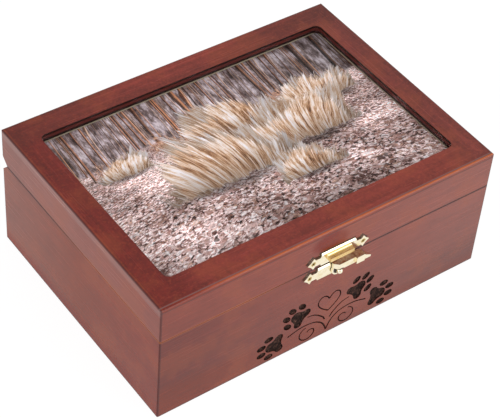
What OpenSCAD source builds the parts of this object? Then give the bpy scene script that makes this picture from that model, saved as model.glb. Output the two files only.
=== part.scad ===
// Keepsake box with a picture window in its lid, kerf hinges and a brass turn latch.
// Millimetres. The origin is the middle of the base, +X is right, +Y is back, +Z is up.
// The box is made round one print: the walls follow from the print and its margins.

/* [Picture] */
// Width of the print that shows in the lid
print_w = 152.4; // [120:0.2:260]
// Depth of the print, front to back
print_d = 101.6; // [80:0.2:200]
// Thickness of the print
print_t = 0.4; // [0.2:0.1:1]
// Space beside the print, left and right, inside the lid rails
margin_side = 0.8; // [0.5:0.1:8]
// Space beside the print, front and back, inside the lid rails
margin_end = 2.2; // [1.2:0.1:10]
// How far the window edge covers the print at left and right
lap_side = 1.7; // [0.8:0.1:5]
// How far the window edge covers the print at front and back
lap_end = 1.8; // [0.8:0.1:5]
// How far the window sits behind the middle of the lid
window_shift = 0.6; // [-1:0.1:1]
// Corner radius of the window
window_r = 3; // [1:0.5:12]
// Thickness of the clear pane
pane_t = 2; // [1.5:0.5:3]
// Thickness of the backing board
backing_t = 3; // [2:0.5:4]
// Thickness of the felt on the backing board
backing_felt_t = 1; // [0.6:0.1:1.5]
// Play round the pane and backing board
glazing_clear = 0.3; // [0.1:0.05:0.6]

/* [Box] */
// Thickness of the walls and the lid rails
wall = 9; // [7.5:0.5:14]
// Height of the closed box
box_h = 64.5; // [52:0.5:120]
// Height of the lid, from the parting line up
lid_h = 18.5; // [16:0.5:30]
// Thickness of the top board
top_t = 4; // [3:0.5:6]
// Gap that the hinges leave between lid and body
parting_gap = 0.3; // [0.2:0.05:0.6]
// Thickness of the bottom panel
bottom_t = 5; // [3:0.5:9]
// How far the bottom panel is let into the walls
bottom_lip = 4; // [2:0.5:6]
// Thickness of the felt on the floor
felt_t = 1.2; // [0.6:0.1:3]
// Radius of the upright corners
corner_r = 0.7; // [0.4:0.1:3]
// Rounding of the top board along the front
front_edge_r = 1.5; // [0.5:0.1:2.5]
// Rounding of the top board along its other edges
edge_r = 0.7; // [0.4:0.1:2.5]

/* [Backing points] */
// Width of one flat point along its rail
point_w = 9; // [6:0.5:14]
// How far a point reaches in under the backing
point_out = 5; // [3:0.5:8]
// How deep a point is driven into its rail
point_in = 4; // [2:0.5:6]
// Thickness of a point
point_t = 0.5; // [0.4:0.1:1]
// Distance of the outer points from the middle of the front and back rails
point_x = 42; // [20:1:55]

/* [Hinges] */
// Length of one hinge
hinge_len = 30; // [20:1:45]
// Distance of each hinge from the middle of the box
hinge_x = 45; // [28:1:50]
// Outer radius of the hinge knuckles
barrel_r = 1.5; // [1.3:0.1:1.8]
// Radius of the hinge pin
hinge_pin_r = 0.65; // [0.5:0.05:0.8]
// Number of knuckles in one hinge
knuckles = 5; // [3:2:7]
// Thickness of a hinge leaf
leaf_t = 1; // [0.8:0.1:1.2]
// How deep a leaf is pressed into its kerf
leaf_depth = 5.5; // [4:0.5:6]
// Running gap round the knuckles
hinge_clear = 0.3; // [0.2:0.05:0.4]
// How far the knuckles stay inside the back face
barrel_inset = 0.15; // [0:0.05:0.5]

/* [Latch plates] */
// Distance of the latch to the right of the middle of the front
latch_x = 1.5; // [-20:0.5:20]
// Thickness of both plates
plate_t = 0.8; // [0.6:0.1:1]
// Distance between the two fixing holes of a plate
hole_span = 26; // [25:0.5:34]
// Length of the broad middle of a plate
plate_len = 18.8; // [17:0.2:19.4]
// Height of the broad middle of a plate
plate_high = 7; // [6.4:0.1:7.4]
// Bevel along the long edges of the broad middle
plate_bevel = 0.6; // [0.3:0.05:0.6]
// Height of the necks that lead to the star ends
neck_high = 3.6; // [2.6:0.1:4.4]
// Radius of the star ends, to their tips
star_r = 3.1; // [2.6:0.1:3.4]
// Radius of the valleys between the star tips
star_valley = 1.9; // [1.7:0.1:2.2]
// Height of the middle of the lid plate above the parting line
upper_rise = 4.1; // [3.8:0.1:4.6]
// Depth of the middle of the body plate below the parting line
lower_drop = 4.1; // [3.9:0.05:4.6]
// How far the lid plate sits to the right of the pivot
upper_shift = 0.4; // [-0.8:0.1:0.8]
// How far the body plate sits to the left of the pivot
lower_shift = 0.7; // [0:0.1:1]
// Shank radius of the fixing screws
screw_r = 0.6; // [0.4:0.05:0.8]
// Head radius of the fixing screws
screw_head_r = 1.2; // [0.9:0.05:1.4]
// Length of the fixing screws below the face of the wood
screw_len = 6; // [4:0.5:7]

/* [Latch lever] */
// Depth of the lever pivot below the parting line
pivot_drop = 4.3; // [4:0.1:4.8]
// Radius of the pivot stud
stud_r = 1; // [0.8:0.05:1.2]
// Radius of the ball on the pivot stud
ball_r = 1.4; // [1.25:0.05:1.45]
// Height of the middle of the ball above the face of the lever
ball_stand = 1.2; // [1.15:0.05:1.6]
// Width of the dish round the stud, beyond the ball
dish_rim = 0.9; // [0.4:0.05:1]
// Outer radius of the lever hub
hub_r = 3; // [2.4:0.1:3.4]
// Thickness of the lever hub and hook
lever_t = 1; // [0.8:0.1:1.2]
// Distance from the pivot to the keeper peg
peg_reach = 6.1; // [5.9:0.1:6.4]
// Radius of the keeper peg
peg_r = 0.6; // [0.5:0.05:0.7]
// Width of the hook band that passes over the peg
hook_t = 0.75; // [0.65:0.05:0.9]
// Working gap between lever and keeper
latch_clear = 0.3; // [0.2:0.05:0.35]
// Reach of the keeper hood to the left of the pivot
hood_left = 5.5; // [5:0.1:6.5]
// Reach of the keeper hood to the right of the pivot
hood_right = 7; // [6.5:0.1:7.6]
// Thickness of the top of the hood
hood_top = 1.5; // [1.2:0.1:1.6]
// How far the lip of the hood hangs below its top
hood_lip = 0.45; // [0.3:0.05:0.8]
// Thickness of the lip and the two cheeks of the hood
hood_t = 0.75; // [0.6:0.05:0.9]
// Radius of the cove between the hood and its plate
cove_r = 1; // [0.6:0.1:1.1]
// How far the thick bar of the lever stands out from the wood
bar_out = 4.2; // [3.8:0.1:5]
// Distance from the pivot up to the top of the bar
bar_top = 4.9; // [4.4:0.1:5.2]
// Reach of the bar to the left of the pivot
bar_left = 2.6; // [2:0.1:3.2]
// Slant of the left end of the bar
bar_slant = 1.5; // [0.8:0.1:1.8]
// Distance from the pivot to the near face of the thumb block
thumb_near = 7.2; // [6.8:0.1:8]
// Length of the thumb block
thumb_len = 4.8; // [4:0.1:5.4]
// How far the thumb block rises above the bar
thumb_rise = 0.5; // [0.2:0.1:0.8]
// How far the thumb block stands proud of the bar
thumb_proud = 1.1; // [0.6:0.1:1.4]
// Length of the tip beyond the thumb block
tip_len = 3.5; // [2.5:0.1:4.5]
// Height of the tip where it leaves the block
tip_high = 2.6; // [2:0.1:3]
// How far the tip drops below the bar at its end
tip_drop = 0.5; // [0.2:0.1:1]
// Height of the blunt end of the tip
tip_blunt = 1; // [0.6:0.1:1.6]

/* [Hidden] */
$fn = 48;

// Outside and inside of the box, worked out from the print
inner_w = print_w + 2 * margin_side;
inner_d = print_d + 2 * margin_end;
box_w = inner_w + 2 * wall;
box_d = inner_d + 2 * wall;
front_y = -box_d / 2;
back_y = box_d / 2;

// Levels, from the base up
parting_z = box_h - lid_h;
body_top = parting_z - parting_gap / 2;
lid_low = parting_z + parting_gap / 2;
top_low = box_h - top_t;
pane_low = top_low - pane_t;
print_low = pane_low - print_t;
backing_low = print_low - backing_t;
backing_felt_low = backing_low - backing_felt_t;
point_low = backing_felt_low - point_t;

// Hinge: the knuckles nest in a square notch along the back of the parting line
leaf_start = barrel_r + hinge_clear;
hinge_axis_y = back_y - barrel_r - barrel_inset;
notch = back_y - hinge_axis_y + leaf_start * sqrt(2);
knuckle_len = (hinge_len - (knuckles - 1) * hinge_clear) / knuckles;
pin_run = 0.05;
push_fit = 0.01;
past = 1;
point_share = 0.4;
web_relief = 0.08;
panel_play = 0.1;
lid_side = 45;
body_side = 135;

// Latch, measured from the pivot: heights along Z and distances out from the wood
pivot_z = parting_z - pivot_drop;
lever_gap = 0.25;
lever_in = plate_t + lever_gap;
lever_face = lever_in + lever_t;
throat_in = peg_reach - peg_r - latch_clear;
throat_out = peg_reach + peg_r + latch_clear;
hook_out = throat_out + hook_t;
hood_low = hook_out + latch_clear;
hood_high = hood_low + hood_top;
hood_in = lever_face + latch_clear;
hood_out = hood_in + hood_t;
peg_ease = 0.05;
peg_seat = asin((peg_r + latch_clear + peg_ease) / peg_reach);
hook_mouth = 112;
hook_heel = 42;
web_past = 10;
ball_out = lever_face + ball_stand;
sink_floor = 0.1;
bar_low = ball_r + latch_clear;
thumb_end = thumb_near + thumb_len;
thumb_ease = 0.5;
thumb_top = bar_top + thumb_rise;
tip_end = thumb_end + tip_len;
tip_out = 0.2;
tip_thick = 1.2;
tip_heel = 1.5;
shoulder_drop = 0.8;
shoulder_run = 0.4;
upper_mid = upper_rise + pivot_drop;
lower_mid = pivot_drop - lower_drop;
stud_deep = 5;

// Rectangle with round corners, centred
module rounded_rect(w, d, r) {
    square([w - 2 * r, d], center = true);
    square([w, d - 2 * r], center = true);
    for (sx = [-1, 1], sy = [-1, 1])
        translate([sx * (w / 2 - r), sy * (d / 2 - r)])
            circle(r);
}

// Plan of one mitred board, by the side that it stands on
module mitre_plan(side) {
    x0 = box_w / 2;
    y0 = box_d / 2;
    x1 = x0 - wall;
    y1 = y0 - wall;
    if (side == "front")
        polygon([[-x0, -y0], [x0, -y0], [x1, -y1], [-x1, -y1]]);
    if (side == "back")
        polygon([[-x1, y1], [x1, y1], [x0, y0], [-x0, y0]]);
    if (side == "left")
        polygon([[-x0, -y0], [-x1, -y1], [-x1, y1], [-x0, y0]]);
    if (side == "right")
        polygon([[x0, -y0], [x0, y0], [x1, y1], [x1, -y1]]);
}

// Mitred board between two levels, with the upright corners eased
module mitred_board(side, low, high) {
    translate([0, 0, low])
        linear_extrude(high - low)
            intersection() {
                mitre_plan(side);
                rounded_rect(box_w, box_d, corner_r);
            }
}

// Square notch along the back edge of the parting line
module back_notch() {
    side = notch * sqrt(2);
    translate([0, back_y, parting_z])
        rotate([45, 0, 0])
            cube([box_w + 2 * past, side, side], center = true);
}

// Wall of the body, rebated for the bottom panel
module body_wall(side) {
    difference() {
        mitred_board(side, 0, body_top);
        bottom_slab(0);
        back_notch();
    }
}

// Bottom panel, or the rebate that holds it when play is 0
module bottom_slab(play) {
    translate([0, 0, bottom_t / 2])
        cube([
            inner_w + 2 * bottom_lip - 2 * play,
            inner_d + 2 * bottom_lip - 2 * play,
            bottom_t
        ], center = true);
}

module front_wall() {
    color("#96584e")
        difference() {
            body_wall("front");
            at_pivot() {
                screw_pair(-lower_shift, lower_mid, push_fit);
                stud_shank(push_fit);
            }
        }
}

module back_wall() {
    color("#8a5047")
        difference() {
            body_wall("back");
            for (side = [-1, 1])
                hinge_plate(side, body_side, push_fit);
        }
}

module left_wall() {
    color("#9a6058")
        body_wall("left");
}

module right_wall() {
    color("#8a5047")
        body_wall("right");
}

module bottom_panel() {
    color("#7c4a3c")
        bottom_slab(panel_play);
}

module floor_felt() {
    color("#3c1418")
        translate([0, 0, bottom_t + felt_t / 2])
            cube([inner_w, inner_d, felt_t], center = true);
}

// Rail of the lid under the top board
module lid_rail(side) {
    difference() {
        mitred_board(side, lid_low, top_low);
        back_notch();
        point_set();
    }
}

module lid_front_rail() {
    color("#96584e")
        difference() {
            lid_rail("front");
            at_pivot()
                screw_pair(upper_shift, upper_mid, push_fit);
        }
}

module lid_back_rail() {
    color("#8a5047")
        difference() {
            lid_rail("back");
            for (side = [-1, 1])
                hinge_plate(side, lid_side, push_fit);
        }
}

module lid_left_rail() {
    color("#9a6058")
        lid_rail("left");
}

module lid_right_rail() {
    color("#8a5047")
        lid_rail("right");
}

// End profile of the top board, with one rounding for each upper corner
module rounded_top(w, t, r_low, r_high) {
    translate([-w / 2, 0])
        square([w, t - max(r_low, r_high)]);
    translate([-w / 2 + r_low, 0])
        square([w - r_low - r_high, t]);
    translate([-w / 2, 0])
        square([w / 2, t - r_low]);
    square([w / 2, t - r_high]);
    translate([-w / 2 + r_low, t - r_low])
        circle(r_low);
    translate([w / 2 - r_high, t - r_high])
        circle(r_high);
}

// Top board, cut out for the window, its upper edges rounded
module top_frame() {
    color("#7a4540")
        difference() {
            intersection() {
                translate([0, 0, top_low])
                    linear_extrude(top_t)
                        rounded_rect(box_w, box_d, corner_r);
                translate([-box_w / 2, 0, top_low])
                    rotate([90, 0, 90])
                        linear_extrude(box_w)
                            rounded_top(box_d, top_t, front_edge_r, edge_r);
                translate([0, box_d / 2, top_low])
                    rotate([90, 0, 0])
                        linear_extrude(box_d)
                            rounded_top(box_w, top_t, edge_r, edge_r);
            }
            translate([0, window_shift, top_low - past])
                linear_extrude(top_t + 2 * past)
                    rounded_rect(print_w - 2 * lap_side, print_d - 2 * lap_end, window_r);
        }
}

// Flat sheet that fills the lid inside its rails
module glazing_sheet(low, t) {
    translate([0, 0, low + t / 2])
        cube([inner_w - 2 * glazing_clear, inner_d - 2 * glazing_clear, t], center = true);
}

module window_pane() {
    color("#cfe0e4", 0.4)
        glazing_sheet(pane_low, pane_t);
}

module photo_print() {
    color("#b08a6c")
        translate([0, window_shift, print_low + print_t / 2])
            cube([print_w, print_d, print_t], center = true);
}

module backing_board() {
    color("#5c4632")
        glazing_sheet(backing_low, backing_t);
}

module backing_felt() {
    color("#3c1418")
        glazing_sheet(backing_felt_low, backing_felt_t);
}

// One flat point, its sharp end in the wood along +Y and its tab towards -Y
module flat_point() {
    shoulder = point_in * point_share;
    translate([0, 0, point_low])
        linear_extrude(point_t)
            polygon([
                [-point_w / 2, -point_out],
                [point_w / 2, -point_out],
                [point_w / 2, shoulder],
                [0, point_in],
                [-point_w / 2, shoulder]
            ]);
}

// All points that hold the backing board up against the picture
module point_set() {
    for (sx = [-1, 1], turn = [0, 180])
        rotate([0, 0, turn])
            translate([sx * point_x, inner_d / 2, 0])
                flat_point();
    for (turn = [-90, 90])
        rotate([0, 0, turn])
            translate([0, inner_w / 2, 0])
                flat_point();
}

module retaining_points() {
    color("#8f9496")
        point_set();
}

// Part of a leaf that is pressed into its kerf, square to the notch face
module hinge_plate(side, lean, play) {
    translate([side * hinge_x, hinge_axis_y, parting_z])
        rotate([lean, 0, 0])
            translate([-hinge_len / 2 - play, -leaf_t / 2 - play, leaf_start])
                cube([hinge_len + 2 * play, leaf_t + 2 * play, leaf_depth + play]);
}

// Leaf with its own knuckles: first is 0 for the outer knuckles and 1 for those between
module hinge_leaf(side, lean, first, hole_r) {
    hinge_plate(side, lean, 0);
    translate([side * hinge_x - hinge_len / 2, hinge_axis_y, parting_z])
        difference() {
            for (i = [first : 2 : knuckles - 1])
                translate([i * (knuckle_len + hinge_clear), 0, 0]) {
                    rotate([0, 90, 0])
                        cylinder(r = barrel_r, h = knuckle_len);
                    rotate([lean, 0, 0])
                        translate([web_relief, web_relief - leaf_t / 2, 0])
                            cube([
                                knuckle_len - 2 * web_relief,
                                leaf_t - 2 * web_relief,
                                leaf_start + leaf_t / 2
                            ]);
                }
            translate([-past, 0, 0])
                rotate([0, 90, 0])
                    cylinder(r = hole_r, h = hinge_len + 2 * past);
        }
}

module hinge_body_leaf(side) {
    color("#c9a24c")
        hinge_leaf(side, body_side, 0, hinge_pin_r + push_fit);
}

module hinge_lid_leaf(side) {
    color("#c9a24c")
        hinge_leaf(side, lid_side, 1, hinge_pin_r + pin_run);
}

module hinge_pin(side) {
    color("#a58a4a")
        translate([side * hinge_x - hinge_len / 2, hinge_axis_y, parting_z])
            rotate([0, 90, 0])
                cylinder(r = hinge_pin_r, h = hinge_len);
}

// Latch frame: the pivot on the front face, with -Y out from the wood
module at_pivot() {
    translate([latch_x, front_y, pivot_z])
        children();
}

// Extrudes a face outline between two distances out from the wood
module outward(near, far) {
    translate([0, -near, 0])
        rotate([90, 0, 0])
            linear_extrude(far - near)
                children();
}

// Corner points of one quarter of a plate, from the broad middle round to the star's end tip
function plate_quarter() =
    let (
        x = plate_len / 2,
        z = plate_high / 2,
        neck = neck_high / 2,
        hole = hole_span / 2,
        valley = star_valley * sin(45),
        cut = (z - neck) * shoulder_drop,
        meet = (neck - valley) / (star_r - valley)
    )
    [
        [x - (z - neck) * shoulder_run, z],
        [x, z - cut],
        [x, neck],
        [hole - valley * (1 - meet), neck],
        [hole, star_r],
        [hole + valley, valley],
        [hole + star_r, 0]
    ];

// Outline of either plate: a broad middle, two necks and two star ends
module plate_outline() {
    quarter = plate_quarter();
    last = len(quarter) - 1;
    polygon(concat(
        [for (i = [0 : last]) quarter[i]],
        [for (i = [last - 1 : -1 : 0]) [quarter[i].x, -quarter[i].y]],
        [for (i = [0 : last]) [-quarter[i].x, -quarter[i].y]],
        [for (i = [last - 1 : -1 : 0]) [-quarter[i].x, quarter[i].y]]
    ));
}

// Two fixing screws with sunk heads, or their holes when play is added
module screw_pair(shift, mid, play) {
    sink = plate_t - sink_floor;
    through = play > 0 ? past : 0;
    flare = (screw_head_r - screw_r) / (sink + play);
    for (sx = [-1, 1])
        translate([shift + sx * hole_span / 2, 0, mid])
            rotate([90, 0, 0]) {
                translate([0, 0, -screw_len - play])
                    cylinder(r = screw_r + play, h = screw_len + plate_t + play);
                translate([0, 0, plate_t - sink - play])
                    cylinder(
                        r1 = screw_r + play,
                        r2 = screw_head_r + play + flare * through,
                        h = sink + play + through
                    );
            }
}

// Shank of the pivot stud, through the plate and into the wall
module stud_shank(play) {
    translate([0, stud_deep + play, 0])
        rotate([90, 0, 0])
            cylinder(r = stud_r + play, h = stud_deep + ball_out + play);
}

// What is cut from a plate: bevels along the long edges of its middle, and screw holes
module plate_cuts(shift, mid) {
    side = plate_bevel * sqrt(2);
    for (sz = [-1, 1])
        translate([shift, -plate_t, mid + sz * plate_high / 2])
            rotate([45, 0, 0])
                cube([plate_len + past, side, side], center = true);
    screw_pair(shift, mid, push_fit);
}

module latch_lower_plate() {
    color("#e6c766")
        at_pivot()
            difference() {
                outward(0, plate_t)
                    translate([-lower_shift, lower_mid])
                        plate_outline();
                plate_cuts(-lower_shift, lower_mid);
                stud_shank(push_fit);
            }
}

module latch_lower_screws() {
    color("#caa650")
        at_pivot()
            screw_pair(-lower_shift, lower_mid, 0);
}

module latch_pivot_stud() {
    color("#e6c766")
        at_pivot() {
            stud_shank(0);
            translate([0, -ball_out, 0])
                sphere(ball_r);
        }
}

// End view of the keeper hood: its top, its lip and a cove up to the plate
module hood_profile() {
    root = plate_t / 2;
    difference() {
        translate([-hood_out, hood_low - hood_lip])
            square([hood_out - root, hood_high + cove_r - hood_low + hood_lip]);
        translate([-hood_out - cove_r, hood_high])
            square([hood_out - plate_t, 2 * cove_r]);
        translate([-plate_t - cove_r, hood_high + cove_r])
            circle(cove_r);
    }
}

// Hood over the hook and the peg, closed at both ends
module keeper_hood() {
    inner = hood_left + hood_right - 2 * hood_t;
    difference() {
        translate([-hood_left, 0, 0])
            rotate([90, 0, 90])
                linear_extrude(hood_left + hood_right)
                    hood_profile();
        translate([hood_t - hood_left, -hood_in, hood_low - 2 * hood_lip])
            cube([inner, hood_in - plate_t, 2 * hood_lip]);
    }
}

module latch_upper_plate() {
    color("#e6c766")
        at_pivot()
            difference() {
                union() {
                    outward(0, plate_t)
                        translate([upper_shift, upper_mid])
                            plate_outline();
                    keeper_hood();
                    translate([0, 0, peg_reach])
                        outward(plate_t / 2, hood_in)
                            circle(peg_r);
                }
                plate_cuts(upper_shift, upper_mid);
            }
}

module latch_upper_screws() {
    color("#caa650")
        at_pivot()
            screw_pair(upper_shift, upper_mid, 0);
}

// Slice of the face between two angles about the pivot
module slice(from, to) {
    reach = 3 * hook_out;
    mid = (from + to) / 2;
    polygon([
        [0, 0],
        [reach * cos(from), reach * sin(from)],
        [reach * cos(mid), reach * sin(mid)],
        [reach * cos(to), reach * sin(to)]
    ]);
}

// Hub, web, heel and hook band of the lever, all round the pivot
module hook_outline() {
    circle(hub_r);
    intersection() {
        circle(throat_in);
        slice(hook_heel, hook_mouth + web_past);
    }
    intersection() {
        circle(hook_out);
        slice(hook_heel, 90 - peg_seat);
    }
    intersection() {
        difference() {
            circle(hook_out);
            circle(throat_out);
        }
        slice(hook_heel, hook_mouth);
    }
}

// Front view of the thick bar, the thumb block and the tip
module handle_front() {
    intersection() {
        circle(bar_top);
        translate([-bar_left, bar_low])
            square([bar_left, bar_top - bar_low]);
    }
    polygon([
        [0, bar_low],
        [thumb_end, bar_low],
        [tip_end, bar_low - tip_drop],
        [tip_end, bar_low - tip_drop + tip_blunt],
        [thumb_end, bar_low + tip_high],
        [thumb_end, thumb_top - thumb_ease],
        [thumb_end - thumb_ease, thumb_top],
        [thumb_near + thumb_rise, thumb_top],
        [thumb_near, bar_top],
        [0, bar_top]
    ]);
}

// Top view of the same, with the distance out from the wood along -Y
module handle_plan() {
    thumb_out = bar_out + thumb_proud;
    tip_front = bar_out + tip_out;
    polygon([
        [-bar_left, -lever_in],
        [-bar_left, -lever_face],
        [bar_slant - bar_left, -bar_out],
        [thumb_near, -bar_out],
        [thumb_near, -thumb_out],
        [thumb_end - thumb_ease, -thumb_out],
        [thumb_end, thumb_ease - thumb_out],
        [tip_end, -tip_front],
        [tip_end, tip_thick - tip_front],
        [thumb_end - tip_heel, -lever_in]
    ]);
}

// Dish round the stud in the face of the hub
module hub_dish() {
    deep = lever_t / 2;
    translate([0, deep - lever_face, 0])
        rotate([90, 0, 0])
            cylinder(r1 = stud_r + pin_run, r2 = ball_r + dish_rim, h = deep + push_fit);
}

module latch_lever() {
    color("#e6c766")
        at_pivot()
            difference() {
                union() {
                    difference() {
                        outward(lever_in, lever_face)
                            hook_outline();
                        hub_dish();
                    }
                    intersection() {
                        outward(lever_in, bar_out + 2 * thumb_proud)
                            handle_front();
                        linear_extrude(2 * thumb_top)
                            handle_plan();
                    }
                }
                stud_shank(pin_run);
            }
}

front_wall();
back_wall();
left_wall();
right_wall();
bottom_panel();
floor_felt();
lid_front_rail();
lid_back_rail();
lid_left_rail();
lid_right_rail();
top_frame();
window_pane();
photo_print();
backing_board();
backing_felt();
retaining_points();
latch_lower_plate();
latch_lower_screws();
latch_pivot_stud();
latch_lever();
latch_upper_plate();
latch_upper_screws();
hinge_body_leaf(-1);  // hinge_body_leaf_left
hinge_body_leaf(1);  // hinge_body_leaf_right
hinge_lid_leaf(-1);  // hinge_lid_leaf_left
hinge_lid_leaf(1);  // hinge_lid_leaf_right
hinge_pin(-1);  // hinge_pin_left
hinge_pin(1);  // hinge_pin_right
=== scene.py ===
import math
import random

import bmesh
import bpy
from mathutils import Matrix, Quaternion, Vector, geometry, noise


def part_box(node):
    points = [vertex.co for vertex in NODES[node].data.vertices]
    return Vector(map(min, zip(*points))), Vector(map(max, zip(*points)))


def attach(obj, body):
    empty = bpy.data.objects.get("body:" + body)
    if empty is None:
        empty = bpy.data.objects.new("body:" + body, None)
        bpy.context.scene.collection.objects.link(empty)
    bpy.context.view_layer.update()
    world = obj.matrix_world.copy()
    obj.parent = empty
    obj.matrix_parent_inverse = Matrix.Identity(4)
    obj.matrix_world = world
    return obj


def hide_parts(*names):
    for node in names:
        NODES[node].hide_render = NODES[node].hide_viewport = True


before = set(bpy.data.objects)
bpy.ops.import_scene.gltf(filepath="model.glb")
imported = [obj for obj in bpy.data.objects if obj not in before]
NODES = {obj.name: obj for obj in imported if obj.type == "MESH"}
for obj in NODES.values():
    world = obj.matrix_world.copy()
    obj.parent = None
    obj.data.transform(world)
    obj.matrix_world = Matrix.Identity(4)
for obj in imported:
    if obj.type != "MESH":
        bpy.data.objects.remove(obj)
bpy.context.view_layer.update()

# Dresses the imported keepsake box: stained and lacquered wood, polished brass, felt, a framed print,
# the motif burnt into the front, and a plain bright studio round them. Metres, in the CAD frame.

MM = 0.001

# Sizes that the materials and pieces follow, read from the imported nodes, in millimetres but for FRONT, the
# place of the front face, which is in metres
BOX_HALF_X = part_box("left_wall")[0].x / -MM
BOX_HALF_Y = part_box("back_wall")[1].y / MM
BOX_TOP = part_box("top_frame")[1].z / MM
BODY_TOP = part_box("front_wall")[1].z / MM
LID_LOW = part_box("lid_front_rail")[0].z / MM
PARTING = (BODY_TOP + LID_LOW) / 2
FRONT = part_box("front_wall")[0].y
TOP_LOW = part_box("top_frame")[0].z / MM

# Sizes of the lid's rounded front edge and of its window, in millimetres, as in the part's source
FRONT_EDGE_R = 1.5
WINDOW_HALF_X = 74.5
WINDOW_HALF_Y = 49.0
WINDOW_SHIFT = 0.6

# Tolerances in metres: to join corners, to find the flat front face, and to cut the engraving
WELD = 1e-7
FLUSH = 1e-6
SNAP = 1e-8


def paint(text):
    """A colour written as a hexadecimal screen colour, as linear light."""
    parts = [int(text[i:i + 2], 16) / 255 for i in (1, 3, 5)]
    return tuple(p / 12.92 if p <= 0.04045 else ((p + 0.055) / 1.055) ** 2.4 for p in parts) + (1.0,)


class Value:
    """A number or vector in a node tree, so that a shader's formulas read as plain arithmetic."""

    def __init__(self, graph, socket):
        self.graph = graph
        self.socket = socket

    def __add__(self, other):
        return self.graph.math("ADD", self, other)

    def __sub__(self, other):
        return self.graph.math("SUBTRACT", self, other)

    def __rsub__(self, other):
        return self.graph.math("SUBTRACT", other, self)

    def __mul__(self, other):
        return self.graph.math("MULTIPLY", self, other)

    def __truediv__(self, other):
        return self.graph.math("DIVIDE", self, other)

    def __rtruediv__(self, other):
        return self.graph.math("DIVIDE", other, self)

    def __abs__(self):
        return self.graph.math("ABSOLUTE", self)

    __radd__ = __add__

    def above(self, edge, blur):
        """0 below the edge and 1 above it, with a smooth step as wide as blur."""
        return self.graph.step(self, edge - blur / 2, edge + blur / 2)

    def below(self, edge, blur):
        """1 below the edge and 0 above it, with a smooth step as wide as blur."""
        return self.graph.step(self, edge + blur / 2, edge - blur / 2)

    def near(self, middle, reach, blur):
        """1 within reach of the middle and 0 further off."""
        return abs(self - middle).below(reach, blur)


class Graph:
    """The node tree of one material or world, filled a formula at a time."""

    def __init__(self, name, kind=bpy.data.materials):
        self.owner = kind.new(name)
        self.owner.use_nodes = True
        self.tree = self.owner.node_tree
        self.tree.nodes.clear()
        self.places = self.node("TexCoord")

    def feed(self, socket, value):
        """Links a value to a socket, or sets the socket's own number or colour."""
        if isinstance(value, Value):
            value = value.socket
        if isinstance(value, str):
            value = paint(value)
        if isinstance(value, bpy.types.NodeSocket):
            self.tree.links.new(value, socket)
        else:
            socket.default_value = value

    def node(self, kind, inputs=None, **settings):
        made = self.tree.nodes.new("ShaderNode" + kind)
        for key, value in settings.items():
            setattr(made, key, value)
        for key, value in (inputs or {}).items():
            self.feed(made.inputs[key], value)
        return made

    def value(self, node, output=0):
        return Value(self, node.outputs[output])

    def math(self, operation, *terms):
        return self.value(self.node("Math", dict(enumerate(terms)), operation=operation))

    def highest(self, *values):
        first, *rest = values
        for value in rest:
            first = self.math("MAXIMUM", first, value)
        return first

    def step(self, value, low, high):
        """A smooth step from 0 at low to 1 at high."""
        inputs = {"Value": value, "From Min": min(low, high), "From Max": max(low, high)}
        if low > high:
            inputs.update({"To Min": 1.0, "To Max": 0.0})
        return self.value(self.node("MapRange", inputs, interpolation_type="SMOOTHSTEP"))

    def rescale(self, value, low, high, new_low, new_high):
        inputs = {"Value": value, "From Min": low, "From Max": high, "To Min": new_low, "To Max": new_high}
        return self.value(self.node("MapRange", inputs))

    def mix(self, share, first, second, blend="MIX"):
        """Mixes two colours by a share from 0 to 1."""
        made = self.node("Mix", data_type="RGBA", blend_type=blend, clamp_factor=True)
        for index, value in ((0, share), (6, first), (7, second)):
            self.feed(made.inputs[index], value)
        return self.value(made, 2)

    def shaded(self, colour, level):
        """A colour made lighter or darker by a factor."""
        return self.mix(1.0, colour, self.vector(level, level, level), "MULTIPLY")

    def blend(self, share, first, second):
        """Mixes two numbers by a share from 0 to 1."""
        made = self.node("Mix", data_type="FLOAT", clamp_factor=True)
        for index, value in ((0, share), (2, first), (3, second)):
            self.feed(made.inputs[index], value)
        return self.value(made, 0)

    def ramp(self, value, *stops):
        """A colour ramp through (place, hexadecimal colour) stops."""
        made = self.node("ValToRGB", {"Fac": value})
        elements = made.color_ramp.elements
        while len(elements) < len(stops):
            elements.new(1.0)
        for element, (place, colour) in zip(elements, stops):
            element.position = place
            element.color = paint(colour)
        return self.value(made)

    def vector(self, x, y, z=0.0):
        return self.value(self.node("CombineXYZ", {"X": x, "Y": y, "Z": z}))

    def parts(self, vector):
        made = self.node("SeparateXYZ", {"Vector": vector})
        return [self.value(made, i) for i in range(3)]

    def millimetres(self):
        """The place on the piece, in the CAD frame, in millimetres."""
        inputs = {0: self.places.outputs["Object"], "Scale": 1 / MM}
        return self.value(self.node("VectorMath", inputs, operation="SCALE"))

    def facing(self):
        """The surface's direction in the CAD frame."""
        return self.parts(self.places.outputs["Normal"])

    def noise(self, vector, scale, detail=2.0, rough=0.5, swirl=0.0):
        inputs = {"Vector": vector, "Scale": scale, "Detail": detail, "Roughness": rough, "Distortion": swirl}
        return self.value(self.node("TexNoise", inputs))

    def bump(self, height, depth, strength):
        """A normal for fine relief of a depth in millimetres."""
        inputs = {"Height": height, "Distance": depth * MM, "Strength": strength}
        return self.value(self.node("Bump", inputs))

    def surface(self, **sockets):
        """Ends the tree in a Principled shader, with each named socket fed, and returns the material."""
        shader = self.node("BsdfPrincipled")
        for name, value in sockets.items():
            self.feed(shader.inputs[name.replace("_", " ")], value)
        return self.end(shader.outputs[0])

    def end(self, shader):
        self.node("OutputMaterial", {"Surface": shader})
        return self.owner


# Camera, studio and light

CAMERA_PLACE = (-0.33793, -0.42146, 0.54771)
CAMERA_AHEAD = (0.45229, 0.55805, -0.69571)
CAMERA_ROLL = 5.0
CAMERA_LENS = 121.69
SENSOR_WIDTH = 36.0


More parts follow.
